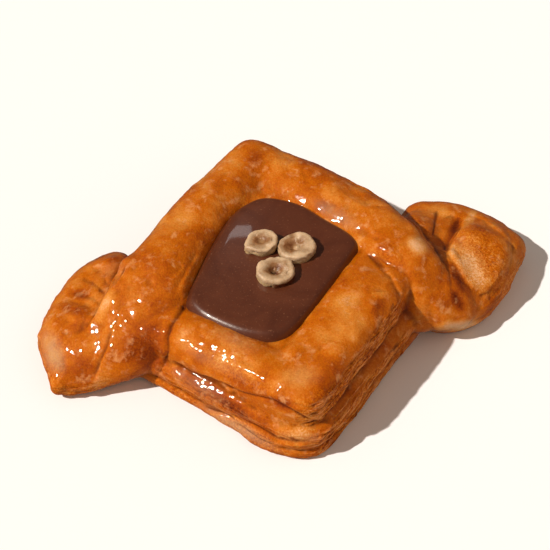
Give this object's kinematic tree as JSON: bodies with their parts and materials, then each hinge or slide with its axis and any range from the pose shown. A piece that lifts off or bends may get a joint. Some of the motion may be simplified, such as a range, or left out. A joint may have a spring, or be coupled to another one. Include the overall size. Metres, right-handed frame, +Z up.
{
  "type": "danish pastry",
  "caption": "Diamond-shaped danish pastry with crossed strips of glazed dough, two twisted ears, a smooth chocolate centre and halved hazelnuts on top.",
  "frame": {"origin": "middle of the bounding box, on the plane that the pastry rests on", "axes": "+X from the left ear to the right ear, +Y from the front corner to the back corner, +Z up"},
  "size_m": [0.1656, 0.118, 0.0318],
  "materials": {
    "crust": "golden brown baked dough under a clear sticky glaze",
    "chocolate": "smooth chocolate and hazelnut cream with a soft shine",
    "nut": "cut face of a roasted hazelnut, dry and slightly grainy"
  },
  "bodies": {
    "root": {"pastry": "crust", "chocolate": "chocolate", "hazelnut_1": "nut", "hazelnut_2": "nut", "hazelnut_3": "nut"}
  },
  "joints": []
}
